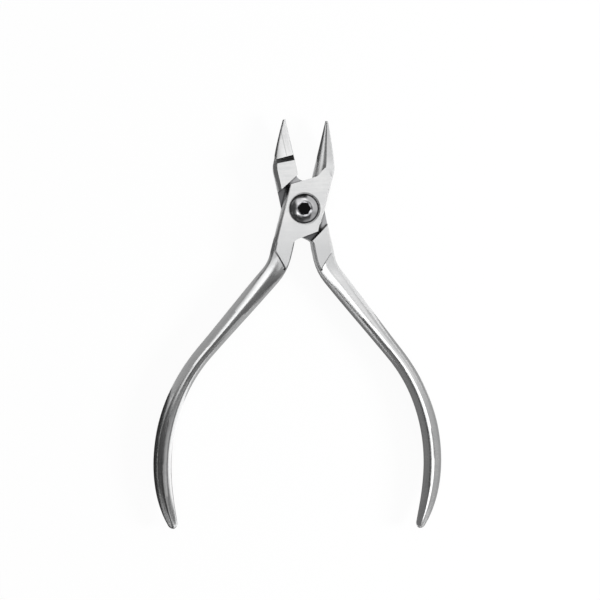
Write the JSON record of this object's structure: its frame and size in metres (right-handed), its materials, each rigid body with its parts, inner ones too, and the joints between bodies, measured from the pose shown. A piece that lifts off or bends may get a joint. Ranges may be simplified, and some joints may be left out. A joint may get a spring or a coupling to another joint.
{
  "type": "orthodontic pliers",
  "caption": "Lap-joint pliers for bending light wire, with a round conical beak, a stepped pyramidal beak, a hexagon-socket pivot screw and long bowed handles",
  "frame": {"origin": "on the pivot axis, in the plane of the joint's back faces and the screw's tail", "axes": "+Y along the beaks, +X to the right seen from the screw's head, +Z out of the head"},
  "size_m": [0.089, 0.1255, 0.0096],
  "materials": {
    "satin_steel": "satin-polished stainless steel",
    "satin_steel_back": "satin-polished stainless steel",
    "polished_screw_steel": "mirror-polished stainless steel"
  },
  "bodies": {
    "back_body": {"back_half": "satin_steel_back", "pivot_screw": "polished_screw_steel"},
    "front_body": {"front_half": "satin_steel"}
  },
  "joints": [
    {"name": "pivot_hinge", "type": "hinge", "parent": "back_body", "child": "front_body", "pos_m": [0, 0, 0], "axis": [0, 0, 1], "range_deg": [-55, 25]}
  ]
}
